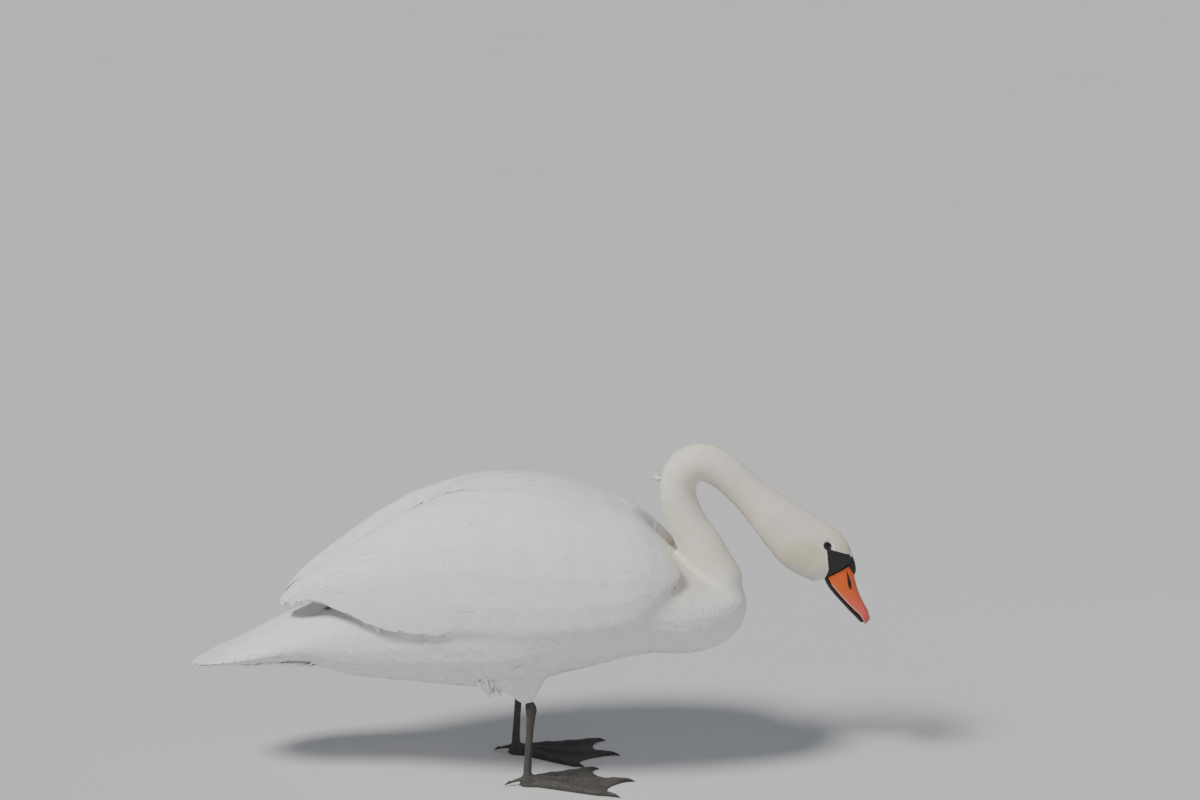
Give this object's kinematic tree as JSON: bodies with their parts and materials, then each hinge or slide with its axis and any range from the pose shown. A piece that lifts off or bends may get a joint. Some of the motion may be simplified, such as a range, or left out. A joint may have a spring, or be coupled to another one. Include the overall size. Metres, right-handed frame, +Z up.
{
  "type": "mute swan model",
  "caption": "Life-size still model of a white mute swan standing with folded wings, arched neck and lowered orange bill.",
  "frame": {"origin": "on the ground, under the middle of the bird's length and of its width", "axes": "+X the way the bird faces, +Y to its left, +Z up"},
  "size_m": [0.9388, 0.3, 0.4653],
  "materials": {
    "plumage": "matte white contour feathers",
    "head_plumage": "short velvety feathers with a cream stain",
    "orange_bill": "satin horn, orange at the base and pinker at the tip",
    "black_horn": "satin black horn and bare skin",
    "eye": "wet dark brown, nearly black",
    "leg_skin": "scaly dark grey skin"
  },
  "bodies": {
    "root": {"trunk": "plumage", "tail": "plumage", "wing_right": "plumage", "wing_left": "plumage", "wing_tip_right": "plumage", "wing_tip_left": "plumage", "neck_lower": "plumage", "neck_upper": "head_plumage", "head": "head_plumage", "thigh_right": "plumage", "thigh_left": "plumage", "eye_right": "eye", "eye_left": "eye", "bill_upper": "orange_bill", "bill_nail": "black_horn", "bill_knob": "black_horn", "bill_lower": "black_horn", "shank_right": "leg_skin", "shank_left": "leg_skin", "foot_right": "leg_skin", "foot_left": "leg_skin"}
  },
  "joints": []
}
